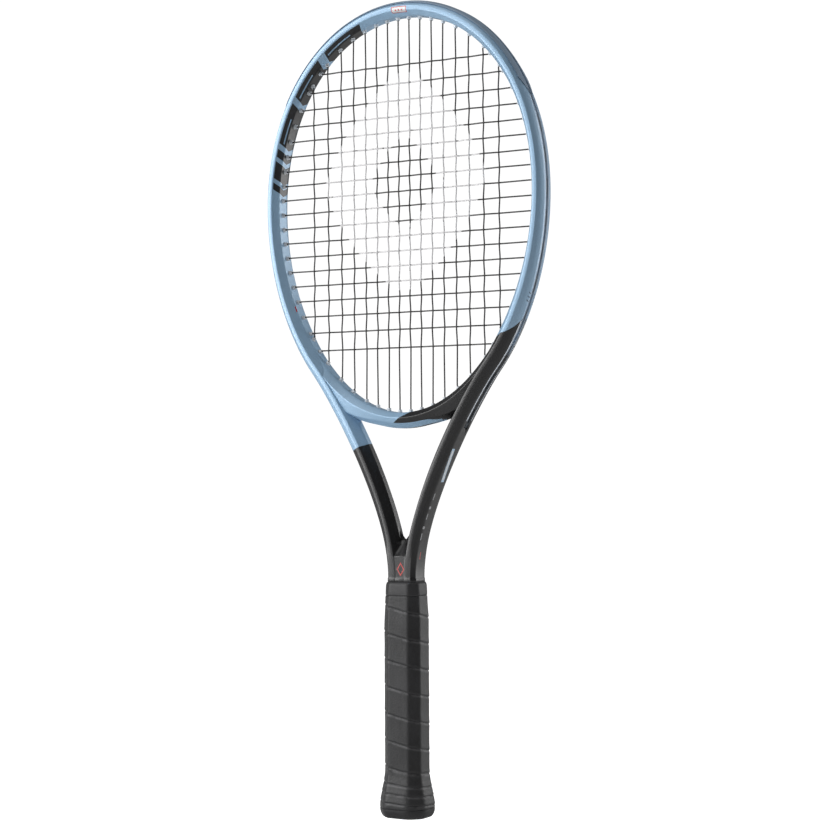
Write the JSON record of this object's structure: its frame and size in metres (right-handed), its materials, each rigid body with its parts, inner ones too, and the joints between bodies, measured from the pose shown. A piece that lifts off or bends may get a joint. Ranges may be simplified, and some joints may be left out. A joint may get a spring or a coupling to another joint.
{
  "type": "tennis racket",
  "caption": "Tennis racket with a hollow tube frame, open throat, woven string bed and wrapped eight-sided handle.",
  "frame": {"origin": "middle of the butt's flat end, on the racket's long axis", "axes": "+Z from the butt to the tip, X across the strings, Y through the string bed"},
  "size_m": [0.2682, 0.0396, 0.6858],
  "materials": {
    "frame_paint": "satin metallic paint over carbon laminate",
    "guard_plastic": "smooth moulded nylon",
    "grommet_plastic": "translucent nylon",
    "string": "polyester string",
    "pallet_plastic": "moulded foam plastic",
    "foam": "closed-cell foam",
    "cap_plastic": "moulded plastic",
    "staple_steel": "bright wire",
    "grip_cover": "soft matte synthetic",
    "tape": "vinyl tape",
    "collar_rubber": "smooth rubber"
  },
  "bodies": {
    "racket": {"frame_hairpin": "frame_paint", "throat_bridge": "frame_paint", "bridge_foam_core": "foam", "bumper_guard": "guard_plastic", "grommet_strip_left": "grommet_plastic", "grommet_strip_right": "grommet_plastic", "throat_grommet_strip": "grommet_plastic", "main_string": "string", "cross_string": "string", "pallet_front": "pallet_plastic", "pallet_back": "pallet_plastic", "handle_foam_left": "foam", "handle_foam_right": "foam", "butt_cap": "cap_plastic", "butt_cap_staples": "staple_steel", "grip_staple": "staple_steel", "grip_wrap": "grip_cover", "finishing_tape": "tape"},
    "door": {"butt_cap_door": "cap_plastic"},
    "collar": {"grip_collar": "collar_rubber"}
  },
  "joints": [
    {"name": "door_hinge", "type": "hinge", "parent": "racket", "child": "door", "pos_m": [0, 0.0053, 0.0015], "axis": [1, 0, 0], "range_deg": [0, 100]},
    {"name": "collar_slide", "type": "slide", "parent": "racket", "child": "collar", "axis": [0, 0, 1], "range_m": [0, 0.008]}
  ]
}
